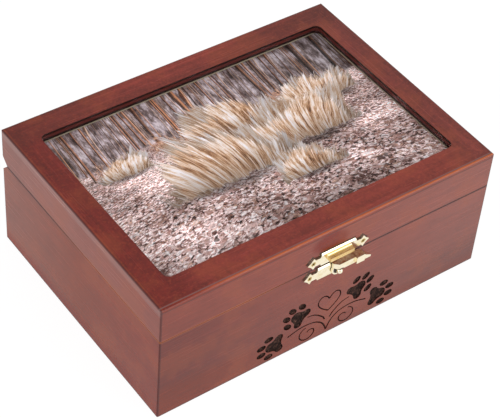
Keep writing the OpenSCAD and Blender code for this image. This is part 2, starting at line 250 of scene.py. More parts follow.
def make_camera():
    """The camera at the photograph's angle, found by fitting the box's corners."""
    data = bpy.data.cameras.new("camera")
    data.lens = CAMERA_LENS
    data.sensor_width = SENSOR_WIDTH
    data.clip_start = 0.01
    camera = bpy.data.objects.new("camera", data)
    bpy.context.scene.collection.objects.link(camera)
    camera.location = CAMERA_PLACE
    camera.rotation_mode = "QUATERNION"
    aim = Vector(CAMERA_AHEAD).to_track_quat("-Z", "Y")
    camera.rotation_quaternion = aim @ Quaternion((0, 0, 1), math.radians(CAMERA_ROLL))
    bpy.context.scene.camera = camera


def seen_ray(graph):
    """1 for rays that see the studio itself: from the camera, off a glossy surface or through glass."""
    rays = graph.node("LightPath")
    kinds = ("Is Camera Ray", "Is Glossy Ray", "Is Transmission Ray")
    return graph.highest(*(graph.value(rays, kind) for kind in kinds))


FLOOR_HALF = 12.0
FLOOR_DROP = 0.0001
FLOOR_PAPER = 0.86
FLOOR_GLOW = 0.90
FLOOR_SHADE = 0.16


def floor_material():
    """White paper: plain diffuse as light for the object, and white with a faint shadow where it is seen."""
    g = Graph("studio_paper")
    paper = g.node("BsdfDiffuse", {"Color": (FLOOR_PAPER, FLOOR_PAPER, FLOOR_PAPER, 1)})
    shade = g.node("BsdfDiffuse", {"Color": (FLOOR_SHADE, FLOOR_SHADE, FLOOR_SHADE, 1)})
    glow = g.node("Emission", {"Color": (1, 1, 1, 1), "Strength": FLOOR_GLOW})
    shown = g.node("AddShader", {0: shade.outputs[0], 1: glow.outputs[0]})
    return g.end(g.node("MixShader", {0: seen_ray(g), 1: paper.outputs[0], 2: shown.outputs[0]}).outputs[0])


def make_floor():
    mesh = bpy.data.meshes.new("studio_floor")
    h = FLOOR_HALF
    corners = [(x, y, -FLOOR_DROP) for x, y in ((-h, -h), (h, -h), (h, h), (-h, h))]
    mesh.from_pydata(corners, [], [(0, 1, 2, 3)])
    mesh.materials.append(floor_material())
    floor = bpy.data.objects.new("studio_floor", mesh)
    bpy.context.scene.collection.objects.link(floor)


SKY_LOW = 1.0
SKY_HIGH = 0.74
SKY_TURN = (0.15, 0.75)


def make_world():
    """A white studio: bright walls, and a dimmer ceiling."""
    g = Graph("studio", bpy.data.worlds)
    height = g.parts(g.places.outputs["Generated"])[2]
    names = ("Value", "From Min", "From Max", "To Min", "To Max")
    inputs = dict(zip(names, (height, *SKY_TURN, SKY_LOW, SKY_HIGH)))
    strength = g.node("MapRange", inputs, interpolation_type="SMOOTHSTEP").outputs[0]
    light = g.node("Background", {"Strength": strength})
    g.node("OutputWorld", {"Surface": light.outputs[0]})
    bpy.context.scene.world = g.owner


# Each lamp: its place and width in metres, and its power in watts.
LAMPS = {
    "front_soft": ((0.55, -0.95, 0.45), 0.7, 3.0),
    "left_soft": ((-1.1, -0.35, 0.6), 0.7, 3.2),
    "high_soft": ((-0.35, -0.75, 1.25), 0.9, 2.6),
}


def make_lamps():
    """Three large soft lamps: low at the front right, at the left, and high in front."""
    for name, (place, size, power) in LAMPS.items():
        data = bpy.data.lights.new(name, "AREA")
        data.shape = "DISK"
        data.size = size
        data.energy = power
        lamp = bpy.data.objects.new(name, data)
        bpy.context.scene.collection.objects.link(lamp)
        lamp.location = place
        lamp.rotation_euler = (-Vector(place)).to_track_quat("-Z", "Y").to_euler()


# Wood: its colour by place, the stain with painted sheen and shade, in stops from left to right along the
# front, from front to back along the sides, each for the body and for the lid, and from left to right over
# the top.
FRONT_BODY = ((0.10, "#6f2e25"), (0.30, "#7e382c"), (0.52, "#873d2e"), (0.85, "#87473c"))
FRONT_LID = ((0.10, "#843b2e"), (0.40, "#893f31"), (0.85, "#8b4a3f"))
SIDE_BODY = ((0.10, "#803021"), (0.50, "#83361f"), (0.95, "#8a4e41"))
SIDE_LID = ((0.10, "#8c493e"), (0.50, "#925348"), (0.95, "#955c52"))
TOP_STAIN_AND_SHADE = ((0.02, "#732219"), (0.08, "#71211a"), (0.15, "#843229"), (0.86, "#85352a"), (0.97, "#78332b"))
WOOD_ORANGE = "#a3502c"
WOOD_DARK = "#4c1f1b"
LOW_ORANGE = "#7c2c12"
SIDE_LOW = "#7f1e04"
FRONT_CORNER = "#6a332b"
BACK_CORNER = "#62251b"
# A painted reflection of the latch: a deeper red patch on the lid's front above it.
LATCH_REFLECTION_RED = "#781a00"
LATCH_REFLECTION_PLACE = (-2.5, 58.3)
LATCH_REFLECTION_REACH = (9.5, 5.2)
# The painted shadow round the latch's plates
LATCH_SHADE = "#3c0a07"
EDGE_DARK = "#43282a"
EDGE_GREY = "#7f5c58"
EDGE_HIGHLIGHT = "#c2683a"
EDGE_ORANGE = "#b86a42"
WINDOW_SHADE = "#1d0f0d"
WINDOW_RED = "#5e2622"
INSIDE_TINT = (0.72, 0.66, 0.62, 1)
WOOD_IOR = {"front_wood": 1.40, "side_wood": 1.22, "top_wood": 1.40}
GRAIN_SHRINK = 0.045
SIDE_GRAIN_SHIFT = (137.0, 31.0)


def board_grain(g, x, y, z):
    """The place drawn out along each board's grain, and how far in a point is from sides and front."""
    to_side = BOX_HALF_X - abs(x)
    to_front = BOX_HALF_Y - abs(y)
    side = (to_front - to_side).above(0, 0.3)
    along_x = g.vector(x * GRAIN_SHRINK, y, z)
    along_y = g.vector(x + SIDE_GRAIN_SHIFT[0], y * GRAIN_SHRINK, z + SIDE_GRAIN_SHIFT[1])
    return g.mix(side, along_x, along_y), to_side, to_front


def stain_and_sheen_by_place(g, x, y, z, top, side_face):
    """The even part of the colour, from the face and the place on it: the stain with painted sheen and shade,
    and a painted reflection of the latch above it.
    """
    across = g.rescale(x, -BOX_HALF_X, BOX_HALF_X, 0.0, 1.0)
    along = g.rescale(y, -BOX_HALF_Y, BOX_HALF_Y, 0.0, 1.0)
    lid = z.above(PARTING, 0.2)
    front = g.mix(lid, g.ramp(across, *FRONT_BODY), g.ramp(across, *FRONT_LID))
    side = g.mix(lid, g.ramp(along, *SIDE_BODY), g.ramp(along, *SIDE_LID))
    front = g.mix(x.above(40.0, 70.0) * z.below(16.0, 18.0) * 0.8, front, FRONT_CORNER)
    low = (z - g.rescale(x, -BOX_HALF_X, 60.0, 17.0, 4.0)).below(0.0, 9.0)
    front = g.mix(low * 0.8, front, LOW_ORANGE)
    side = g.mix(z.below(5.0, 8.0) * 0.9, side, SIDE_LOW)
    # Painted reflection of the latch: a deeper red patch above it.
    reflection_x = (x - LATCH_REFLECTION_PLACE[0]) / LATCH_REFLECTION_REACH[0]
    reflection_z = (z - LATCH_REFLECTION_PLACE[1]) / LATCH_REFLECTION_REACH[1]
    glow = (reflection_x * reflection_x + reflection_z * reflection_z).below(0.85, 0.9) * y.below(-BOX_HALF_Y + 2.0, 0.5)
    front = g.mix(glow, front, LATCH_REFLECTION_RED)
    over = g.ramp(across, *TOP_STAIN_AND_SHADE)
    over = g.mix(abs(x).above(38.0, 40.0) * y.above(48.0, 8.0) * 0.6, over, BACK_CORNER)
    return g.mix(top, g.mix(side_face, front, side), over)


def wood_colour(g, grain, place, x, y, z, top, side_face):
    """The stain, with its painted sheen and shade, and its grain: soft long streaks on the sides, and a
    mottled, flecked figure on the top.
    """
    cloud = g.noise(grain, 0.085, 3, 0.55, 0.3)
    streak = g.noise(grain, 0.55, 3, 0.6)
    fibre = g.noise(grain, 2.6, 2, 0.6)
    mottle = g.noise(place, 0.22, 4, 0.65, 0.8)
    fleck = g.noise(place, 0.95, 3, 0.7)
    band = g.noise(grain, 0.16, 2, 0.5, 0.4)
    pore = g.noise(place, 3.2, 2, 0.7)
    plain = (cloud - 0.5) * 0.36 + (streak - 0.5) * 0.50 + (fibre - 0.5) * 0.50 + (pore - 0.5) * 0.45
    figured = (mottle - 0.5) * 0.8 + (band - 0.5) * 1.1 + (streak - 0.5) * 0.7 + (fleck - 0.5) * 0.8
    shade = g.blend(top, plain, figured) + 1.0
    stain_and_sheen = stain_and_sheen_by_place(g, x, y, z, top, side_face)
    stain_and_sheen = g.shaded(stain_and_sheen, shade)
    warm = g.noise(place, 0.05, 3, 0.6)
    stain_and_sheen = g.mix(warm.above(0.56, 0.14) * 0.22, stain_and_sheen, WOOD_ORANGE)
    stain_and_sheen = g.mix(warm.below(0.42, 0.14) * 0.10, stain_and_sheen, WOOD_DARK)
    stain_and_sheen = g.mix(top * fleck.above(0.60, 0.10) * 0.22, stain_and_sheen, WOOD_ORANGE)
    return stain_and_sheen, fibre, streak


def wood_edges(g, colour, x, y, z, to_side, to_front):
    """The edges: dark at corners and rims; painted highlights on the round front edge, grey at its top and
    orange lower down, fading towards the left end, with a dark painted shade line under it; a painted orange
    highlight along the top's left outer edge; and at the parting line, a painted orange highlight towards the
    front left corner and dark elsewhere.
    """
    rim = (z - BOX_TOP).above(-0.75, 0.3)
    low_edge = z.below(0.6, 0.5)
    corner = to_side.below(0.7, 0.35) * to_front.below(0.75, 0.35)
    side_rim = to_side.below(0.55, 0.35) * (z - BOX_TOP).above(-0.9, 0.4)
    side_highlight = to_side.near(1.0, 0.35, 0.3) * rim * x.below(0, 1)
    back_rim = y.above(BOX_HALF_Y - 0.6, 0.4) * rim
    dark = g.highest(corner, side_rim, back_rim * 0.6, low_edge * 0.9)
    front_side = y.below(-BOX_HALF_Y + 2.6, 0.4)
    roll_out = y + BOX_HALF_Y - FRONT_EDGE_R
    roll_up = z - BOX_TOP + FRONT_EDGE_R
    angle = g.math("ARCTAN2", roll_up, roll_out * -1.0)
    on_roll = roll_out.below(0.3, 0.1) * roll_up.above(0.0, 0.1) * front_side
    upper_line = on_roll * angle.above(1.36, 0.12)
    lower_line = roll_up.near(-0.1, 0.3, 0.25) * y.below(-BOX_HALF_Y + 0.3, 0.2)
    band = on_roll * angle.near(0.98, 0.26, 0.22)
    outside = g.highest(to_side.below(0.4, 0.2), to_front.below(0.4, 0.2))
    split = abs(z - PARTING).below(0.6, 0.3) * outside
    toward_front_left = (x + BOX_HALF_X + (y + BOX_HALF_Y) * 0.9).below(62, 40)
    colour = g.mix(dark * 0.62, colour, EDGE_DARK)
    # Painted highlight along the top's left outer edge
    colour = g.mix(side_highlight * 0.12, colour, EDGE_HIGHLIGHT)
    # Painted highlights on the round front edge, and a dark painted shade line under it
    colour = g.mix(upper_line * 0.75, colour, EDGE_GREY)
    colour = g.mix(lower_line * 0.55, colour, EDGE_DARK)
    colour = g.mix(band * x.above(-58, 50) * 0.70, colour, EDGE_HIGHLIGHT)
    # Painted highlight on the parting line towards the front left corner
    colour = g.mix(split * toward_front_left * 0.5, colour, EDGE_ORANGE)
    return g.mix(split * (1.0 - toward_front_left) * 0.65, colour, EDGE_DARK)


WINDOW_MARGIN = 0.6


def window_walls(g, colour, x, y, z, nz):
    """The cut walls of the window, with painted shade: almost black low down, and red-brown under the rim."""
    across = abs(x).below(WINDOW_HALF_X + WINDOW_MARGIN, 0.2)
    along = abs(y - WINDOW_SHIFT).below(WINDOW_HALF_Y + WINDOW_MARGIN, 0.2)
    wall = across * along * nz.below(0.5, 0.3) * z.above(TOP_LOW - 0.2, 0.1)
    colour = g.mix(wall * 0.95, colour, WINDOW_SHADE)
    return g.mix(wall * (z - TOP_LOW).near(2.1, 0.75, 0.35) * 0.8, colour, WINDOW_RED)


# The outline of the latch's plates on the front, in millimetres, for the painted shadow round them: a block,
# with a pointed ear round each screw
PLATE_MIDDLES = ((0.8, 41.9), (1.9, 50.1))
PLATE_HALF = (9.4, 3.5)
PLATE_HOLE_OUT = 13.0
PLATE_TIP_OUT = 3.1
PLATE_NECK = 1.8
SHADOW_SHIFT = (-0.4, 0.7)
SHADOW_BLUR = 0.7


def painted_latch_shadow(g, colour, x, y, z):
    """A painted shadow: the dark line round both plates, a little up and to the left of them."""
    lid = z.above(PARTING, 0.1)
    (low_x, low_z), (high_x, high_z) = PLATE_MIDDLES
    out = abs(x - g.blend(lid, low_x + SHADOW_SHIFT[0], high_x + SHADOW_SHIFT[0]))
    up = abs(z - g.blend(lid, low_z + SHADOW_SHIFT[1], high_z + SHADOW_SHIFT[1]))
    block = g.highest(out - PLATE_HALF[0], up - PLATE_HALF[1])
    neck = g.highest(out - PLATE_HOLE_OUT, up - PLATE_NECK)
    point = (abs(out - PLATE_HOLE_OUT) + up - PLATE_TIP_OUT) * 0.7
    away = g.math("MINIMUM", g.math("MINIMUM", block, neck), point)
    latch_shadow = away.below(0.1, SHADOW_BLUR) * y.below(-BOX_HALF_Y + 0.5, 0.2)
    return g.mix(latch_shadow, colour, LATCH_SHADE)


def wood_material(slot):
    """Red-brown stained wood under satin lacquer, with painted sheen, shade, highlights and reflections in
    its colour. Every board shares one pattern by place, so boards that meet in one face look like one piece."""
    g = Graph(slot.replace("wood", "stained_wood"))
    place = g.millimetres()
    x, y, z = g.parts(place)
    grain, to_side, to_front = board_grain(g, x, y, z)
    nx, _, nz = g.facing()
    top = nz.above(0.6, 0.4) * z.above(BOX_TOP - 1.0, 0.6)
    side_face = abs(nx).above(0.7, 0.3)
    colour, fibre, streak = wood_colour(g, grain, place, x, y, z, top, side_face)
    inner = to_side.above(2.5, 0.6) * to_front.above(2.5, 0.6) * z.below(BOX_TOP - 0.4, 0.3)
    colour = g.mix(inner, colour, g.mix(1.0, colour, INSIDE_TINT, "MULTIPLY"))
    colour = wood_edges(g, colour, x, y, z, to_side, to_front)
    colour = window_walls(g, colour, x, y, z, nz)
    # The front also gets the painted shadow round the latch.
    if slot == "front_wood":
        colour = painted_latch_shadow(g, colour, x, y, z)
    rough = g.rescale(streak, 0.3, 0.7, 0.20, 0.30)
    relief = g.bump(fibre * 0.5 + streak * 0.5, 0.04, 0.4)
    return g.surface(Base_Color=colour, Roughness=rough, IOR=WOOD_IOR[slot], Normal=relief)


CHAR_IOR = 1.18
LINE_FLOOR = 0.47
SCORCH_SHARE = 0.4


def char_material():
    """The burnt floors of the engraving, rough, with the grain as fine ridges. The lines are less burnt."""
    g = Graph("burnt_wood")
    place = g.millimetres()
    x, y, z = g.parts(place)
    ridges = g.noise(g.vector(x * 3.0, y, z * 0.35), 1.6, 3, 0.6)
    soot = g.noise(place, 0.5, 3, 0.6)
    depth = y - FRONT / MM
    burn = ridges * 0.6 + soot * 0.4
    deep = g.ramp(burn, (0.36, "#120b0a"), (0.5, "#2b1c18"), (0.64, "#6b4c42"))
    scorch = g.ramp(burn, (0.3, "#2c1411"), (0.52, "#4a221c"), (0.75, "#6b342b"))
    colour = g.mix(depth.below(LINE_FLOOR, 0.06) * SCORCH_SHARE, deep, scorch)
    return g.surface(Base_Color=colour, Roughness=0.8, IOR=CHAR_IOR, Normal=g.bump(ridges, 0.2, 0.8))


def board_material(name, tones, scale, stretch, rough):
    """Plain sheet material, such as plywood or fibreboard."""
    g = Graph(name)
    place = g.millimetres()
    x, y, z = g.parts(place)
    grain = g.noise(g.vector(x * stretch, y, z * 4.0), scale, 4, 0.6)
    speck = g.noise(place, 2.2, 3, 0.7)
    colour = g.ramp(grain * 0.65 + speck * 0.35, *tones)
    return g.surface(Base_Color=colour, Roughness=rough, Normal=g.bump(speck, 0.1, 0.6))


# Metal, felt and glass

def metal_material(name, light, dark, rough, brushed, stretch=(1.0, 1.0, 1.0), painted_light=None):
    """Polished or brushed metal, with faint cloudy tarnish and fine scratches, and, for the latch, painted
    reflection and shade by place.
    """
    g = Graph(name)
    place = g.millimetres()
    x, y, z = g.parts(place)
    cloud = g.noise(place, 0.35, 3, 0.6)
    lines = g.noise(g.vector(x * stretch[0], y * stretch[1], z * stretch[2]), 3.0, 2, 0.6)
    colour = g.mix(g.step(cloud, 0.42, 0.72) * 0.5, light, dark)
    shine = g.rescale(lines, 0.3, 0.7, rough, rough + brushed)
    metal = 1.0
    if painted_light:
        colour, metal, shine = painted_light(g, colour, shine, (x, y, z), g.rescale(cloud, 0.35, 0.65, 0.75, 1.0))
    relief = g.bump(lines, 0.01, brushed * 2)
    return g.surface(Base_Color=colour, Metallic=metal, Roughness=shine, Normal=relief)


# Painted reflection and shade on the latch's brass: gold in the hood, brown on the lever's top, olive round
# the pivot.
LEVER_REFLECTION_BROWN = "#8a4c2f"
HOOD_REFLECTION_GOLD = "#e3b758"
PIVOT_SHADE_OLIVE = "#3d3019"

# Where the painted reflection and shade on the brass lie, in millimetres: how far out from the front the dark
# dish ends and the hood starts, the hood's sides, the top of the lever, and the pivot with the reach of its
# dish.
STUD_DARK = 2.0
HOOD_OUT = 1.0
HOOD_LOW = 48.6
HOOD_HIGH = 52.7
HOOD_LEFT = -4.6
HOOD_RIGHT = 9.2
LEVER_TOP = 45.4
PIVOT = (1.5, 41.7)
HUB_DARK_R = 2.3


def pivot_dish(g, x, z):
    """1 in the dish round the pivot and 0 further off."""
    aside = x - PIVOT[0]
    up = z - PIVOT[1]
    return g.math("SQRT", aside * aside + up * up).below(HUB_DARK_R, 0.4)


def plate_painted_light(g, colour, shine, place, cloud):
    """Painted reflection as deeper gold in the cove and on the lip of the hood, and painted shade as a dark
    dish round the pivot.
    """
    x, y, z = place
    across = x.above(HOOD_LEFT, 0.3) * x.below(HOOD_RIGHT, 0.3)
    within = across * z.above(HOOD_LOW, 0.3) * z.below(HOOD_HIGH, 0.4)
    out = FRONT / MM - y
    hood = out.above(HOOD_OUT, 0.15) * within
    dish = pivot_dish(g, x, z) * out.below(STUD_DARK, 0.3)
    colour = g.mix(hood * cloud * 0.9, colour, HOOD_REFLECTION_GOLD)
    colour = g.mix(dish, colour, PIVOT_SHADE_OLIVE)
    return colour, 1.0 - hood * 0.35 - dish * 0.6, shine + hood * 0.16 + dish * 0.3


def lever_painted_light(g, colour, shine, place, cloud):
    """Painted reflection of the wood as brown on top of the lever, and painted shade as a dark dish round its
    pivot.
    """
    x, _, z = place
    top = g.facing()[2].above(0.5, 0.4) * z.above(LEVER_TOP, 0.6)
    dish = pivot_dish(g, x, z)
    colour = g.mix(top * cloud, colour, LEVER_REFLECTION_BROWN)
    colour = g.mix(dish, colour, PIVOT_SHADE_OLIVE)
    return colour, 1.0 - top * 0.6 - dish * 0.6, shine + top * 0.15 + dish * 0.3


def recess_material():
    """The tarnished inside of a screw's recess, darkened with painted shade."""
    g = Graph("shaded_tarnished_recess")
    grime = g.noise(g.millimetres(), 4.0, 2, 0.6)
    colour = g.ramp(grime, (0.35, "#2e2411"), (0.65, "#57451f"))
    return g.surface(Base_Color=colour, Metallic=1.0, Roughness=0.55)


def felt_material():
    """Short dark red felt, with loose fibres lying every way."""
    g = Graph("wool_felt")
    place = g.millimetres()
    x, y, z = g.parts(place)
    one = g.noise(g.vector(x * 4.0, y * 0.8, z), 1.3, 3, 0.7, 1.2)
    other = g.noise(g.vector(x * 0.8, y * 4.0, z + 9.0), 1.3, 3, 0.7, 1.2)
    fibre = g.highest(one, other)
    patch = g.noise(place, 0.05, 2, 0.5)
    colour = g.ramp(fibre * 0.75 + patch * 0.25, (0.35, "#2c0d10"), (0.55, "#4a181c"), (0.75, "#6b2a2c"))
    return g.surface(
        Base_Color=colour, Roughness=0.95, Sheen_Weight=0.35, Sheen_Roughness=0.5,
        Sheen_Tint="#8a4a4a", Normal=g.bump(fibre, 0.3, 0.7),
    )


PANE_IOR = 1.18
GLASS_TINT = (0.985, 0.99, 0.985, 1)
SHADOW_TINT = (0.97, 0.975, 0.97, 1)


def pane_material():
    """Clear glazing: it lets the lamps through to the print, and gives a faint reflection."""
    g = Graph("clear_glazing")
    smear = g.noise(g.millimetres(), 0.03, 2, 0.5)
    rough = g.rescale(smear, 0.3, 0.7, 0.0, 0.02)
    inputs = {"Base Color": GLASS_TINT, "Roughness": rough, "IOR": PANE_IOR, "Transmission Weight": 1.0}
    glass = g.node("BsdfPrincipled", inputs)
    clear = g.node("BsdfTransparent", {"Color": SHADOW_TINT})
    shadow = g.node("LightPath").outputs["Is Shadow Ray"]
    return g.end(g.node("MixShader", {0: shadow, 1: glass.outputs[0], 2: clear.outputs[0]}).outputs[0])


# The print: an autumn wood, of the builder's own design

HORIZON = 0.72
PRINT_TINT = (1.0, 0.97, 1.0, 1)
PRINT_BORDER = "#cdbfa6"
PRINT_IOR = 1.15
BORDER = 1.05


def print_material():
    """A satin print of leaf litter, bare trunks and pale grasses, with a narrow pale border."""
    low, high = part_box("photo_print")
    left, front = low.x / MM, low.y / MM
    tall = (high.y - low.y) / MM
    wide = (high.x - low.x) / tall / MM
    g = Graph("autumn_print")
    x, y, _ = g.parts(g.millimetres())
    u = (x - left) / tall
    v = (y - front) / tall
    picture = litter(g, u, v)
    picture = woodland(g, u, v, picture)
    picture = pale_clumps(g, u, v, picture)
    edge = g.highest(abs(u - wide / 2) - wide / 2 + 0.5, abs(v - 0.5))
    border = edge.above(0.5 - BORDER / tall, 0.002)
    nz = g.facing()[2]
    picture = g.mix(1.0, picture, PRINT_TINT, "MULTIPLY")
    colour = g.mix(g.highest(border, nz.below(0.5, 0.2)), picture, PRINT_BORDER)
    grit = g.noise(g.vector(u, v), 900, 1)
    return g.surface(Base_Color=colour, Roughness=0.5, IOR=PRINT_IOR, Normal=g.bump(grit, 0.01, 0.2))


def litter(g, u, v):
    """Fallen leaves on the ground, smaller and closer towards the back."""
    depth = 1.0 / (HORIZON + 0.42 - v)
    ground = g.vector((u - 0.7) * depth, v * depth * 1.4)
    drift = g.noise(ground, 2.2, 3, 0.6)
    bend = g.noise(ground, 30, 3, 0.6)
    warped = g.vector((u - 0.7) * depth + bend * 0.035, v * depth * 1.4 + drift * 0.12 + bend * 0.02)
    crumb = g.noise(warped, 40, 5, 0.72, 0.5)
    colour = g.ramp(crumb + (drift - 0.5) * 0.30, (0.39, "#1f1412"), (0.45, "#6b4a42"), (0.49, "#b18b82"),
                    (0.54, "#e8d2ce"), (0.60, "#ffffff"))
    for scale, share, tones in (
        (26, 0.26, ("#4a322c", "#a27468", "#d3ada4", "#f6e8e6")),
        (40, 0.32, ("#6b463c", "#c0978c", "#eed6d0", "#ffffff")),
        (60, 0.32, ("#8e5c44", "#dcb8a2", "#fdf0ee", "#ffffff")),
    ):
        inputs = {"Vector": warped, "Scale": scale}
        cell = g.node("TexVoronoi", inputs)
        chance = g.parts(cell.outputs["Color"])
        edge = g.value(g.node("TexVoronoi", inputs, feature="DISTANCE_TO_EDGE"))
        leaf = g.ramp(chance[0], (0.05, tones[0]), (0.35, tones[1]), (0.65, tones[2]), (0.95, tones[3]))
        curl = g.rescale(g.value(cell), 0.0, 0.7, 1.15, 0.55)
        leaf = g.shaded(leaf, curl)
        whole = (edge + (crumb - 0.5) * 0.5).above(0.07, 0.05) * chance[1].below(share, 0.02)
        colour = g.mix(whole * 0.85, colour, leaf)
    vein = g.noise(warped, 150, 3, 0.7)
    light = g.rescale(drift, 0.32, 0.68, 0.60, 1.45) * g.rescale(v, 0.0, 0.6, 0.80, 1.35)
    light = light * g.rescale(vein, 0.35, 0.65, 0.70, 1.30)
    return g.mix(1.0, colour, g.vector(light, light * 0.94, light * 0.94), "MULTIPLY")


def woodland(g, u, v, colour):
    """Bare trunks and brush behind the clearing, in three depths."""
    rise = g.noise(g.vector(u, 0.3), 5, 3, 0.6)
    line = HORIZON + (rise - 0.5) * 0.16
    haze = g.noise(g.vector(u * 3.0, v), 9, 5, 0.7)
    dusk = g.rescale(u, 0.75, 1.3, 1.0, 0.62)
    back = g.ramp(haze, (0.36, "#3f302f"), (0.47, "#7f6c6b"), (0.54, "#b2a2a6"), (0.64, "#ece0e6"))
    colour = g.mix((v - line).above(0.0, 0.03), colour, g.shaded(back, dusk))
    sway = g.noise(g.vector(u * 4.0, v * 0.3), 2.0, 2, 0.5)
    for count, width, base, tones, seed in (
        (58, 0.20, 0.02, ("#2f211d", "#a57c66", "#ffdfc8"), 3.1),
        (30, 0.17, -0.01, ("#1c1210", "#96593e", "#ffc79c"), 7.7),
        (11, 0.13, -0.05, ("#160d0c", "#5e3c2f", "#e8a276"), 12.3),
    ):
        along = u + (v - line) * (sway - 0.5) * 0.4 - (v - line) * 0.05 + seed
        trunk = g.node("TexVoronoi", {"W": along, "Scale": count}, voronoi_dimensions="1D")
        chance = g.parts(trunk.outputs["Color"])
        across = g.value(trunk) / (chance[0] * width + 0.03)
        lit = g.step((along - g.value(trunk, "W")) * count, -0.05, 0.08)
        bark = g.noise(g.vector(u * 260, v * 30, seed), 1.0, 4, 0.75)
        light = bark * 0.5 + chance[1] * 0.3 + lit * 0.35
        tone = g.ramp(light, (0.32, tones[0]), (0.58, tones[1]), (0.82, tones[2]))
        foot = v - (line + base + (chance[2] - 0.5) * 0.05)
        mask = across.below(0.85, 0.2) * foot.above(0.0, 0.008) * chance[2].above(0.3, 0.02)
        shade = g.rescale(across, 0.2, 0.9, 1.1, 0.55) * dusk
        colour = g.mix(mask * 0.95, colour, g.shaded(tone, shade))
    brush = g.noise(g.vector(u * 120 + sway * 20, v * 26), 1.0, 4, 0.75)
    spread = g.noise(g.vector(u * 7.0, 4.0), 1.0, 3, 0.6)
    low = (line - 0.03 + spread * 0.16 - v) * 8.0
    tuft = (low + (brush - 0.5) * 2.4).above(0.35, 0.3) * (v - line).above(-0.05, 0.03)
    tint = g.ramp(brush, (0.36, "#3a2620"), (0.48, "#8e5c44"), (0.56, "#c99676"), (0.66, "#efd3bf"))
    return g.mix(tuft * spread.above(0.47, 0.06) * 0.9, colour, tint)


# Each clump: the middle of its foot on the print, half its width, its height, its lean and its seed.
CLUMPS = (
    ((0.24, 0.63), 0.10, 0.10, 0.02, 17.0),
    ((1.22, 0.60), 0.17, 0.15, 0.03, 31.0),
    ((0.78, 0.60), 0.20, 0.19, -0.03, 5.0),
    ((1.04, 0.43), 0.21, 0.22, 0.05, 9.0),
    ((0.62, 0.38), 0.24, 0.27, -0.06, 23.0),
    ((0.93, 0.25), 0.13, 0.13, 0.03, 41.0),
)
BLADE_TONES = ((0.38, "#4e3022"), (0.44, "#a57450"), (0.49, "#dcb28c"), (0.54, "#f4e0cf"), (0.60, "#fffafd"))


def clump_blades(g, u, v, half, height, lean, seed):
    """One clump of blades: how far a point is inside it, its blade pattern, and how high up it lies."""
    up = v / height
    ground = g.noise(g.vector(u * 9.0, seed), 1.0, 3, 0.6)
    up = up + (ground - 0.5) * 0.5
    aside = (u - up * up * lean) / (up * 0.55 + 1.0) / half
    blade = g.noise(g.vector(aside * half * 95.0, up * 1.1, seed), 1.0, 5, 0.78)
    lock = g.noise(g.vector(aside * half * 16.0, up * 0.5, seed + 4.0), 1.0, 2, 0.55)
    crown = g.noise(g.vector(aside * half * 8.0, seed + 9.0), 1.0, 2, 0.5)
    top = 1.0 - aside * aside * 0.85 + (crown - 0.5) * 1.4 + (lock - 0.5) * 0.8
    inside = top - up + (blade - 0.5) * 1.6
    foot = up + (blade - 0.5) * 0.35
    return g.math("MINIMUM", inside, foot * 4.0), blade * 0.8 + lock * 0.2, up


def pale_clumps(g, u, v, colour):
    """Clumps of pale dry grass across the clearing, each with its shadow on the leaves."""
    for (foot_u, foot_v), half, height, lean, seed in CLUMPS:
        aside = u - foot_u
        up = v - foot_v
        gap_u = (aside - 0.02) / (half * 1.15)
        gap_v = (up + 0.005) / (height * 0.20)
        shade = (gap_u * gap_u + gap_v * gap_v).below(0.8, 1.3)
        colour = g.mix(shade * 0.7, colour, "#231714")
        for scale, dim, shift in ((1.15, 0.62, 40.0), (1.0, 1.0, 0.0)):
            inside, blade, rise = clump_blades(g, aside, up, half * scale, height * scale, lean, seed + shift)
            tone = g.ramp(blade, *BLADE_TONES)
            light = g.rescale(rise, 0.0, 0.6, 0.45, 1.0) * dim
            colour = g.mix(inside.above(0.0, 0.10), colour, g.shaded(tone, light))
    return colour


# Pieces

def plain_mesh(bm, name):
    """Makes a mesh from a bmesh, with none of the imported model's stored normals."""
    mesh = bpy.data.meshes.new(name)
    bm.to_mesh(mesh)
    bm.free()
    stored = mesh.attributes.get("custom_normal")
    if stored:
        mesh.attributes.remove(stored)
    return mesh


def smooth_mesh(bm, name, angle):
    """Makes a mesh with smooth faces, whose edges stay sharp above an angle in degrees."""
    mesh = plain_mesh(bm, name)
    mesh.polygons.foreach_set("use_smooth", [True] * len(mesh.polygons))
    mesh.set_sharp_from_angle(angle=math.radians(angle))
    return mesh


def add_piece(name, mesh, materials, body, slot, *stands_for):
    """Puts a piece in the scene, on its body, in place of the CAD nodes that it stands for."""
    for material in materials:
        mesh.materials.append(material)
    piece = bpy.data.objects.new(name, mesh)
    bpy.context.scene.collection.objects.link(piece)
    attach(piece, body)
    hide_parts(*stands_for)
    return piece


def node_bmesh(node):
    """A node's mesh with its split corners joined."""
    bm = bmesh.new()
    bm.from_mesh(NODES[node].data)
    bmesh.ops.remove_doubles(bm, verts=bm.verts, dist=WELD)
    return bm


FLAT_ANGLE = 0.5
SHARP_ANGLE = 28
PLATE_ROUND = 0.12
LEVER_ROUND = 0.15


def softened(node, body, material, radius):
    """A copy of a brass node with its sharp edges rounded, as polishing leaves them."""
    bm = node_bmesh(node)
    bmesh.ops.dissolve_limit(bm, angle_limit=math.radians(FLAT_ANGLE), verts=bm.verts, edges=bm.edges)
    mesh = smooth_mesh(bm, node + "_polished", SHARP_ANGLE)
    piece = add_piece(node + "_polished", mesh, [material], body, "latch_brass", node)
    bevel = piece.modifiers.new("rounding", "BEVEL")
    bevel.width = radius * MM
    bevel.segments = 2
    bevel.limit_method = "ANGLE"
    bevel.angle_limit = math.radians(SHARP_ANGLE)
    bevel.harden_normals = True


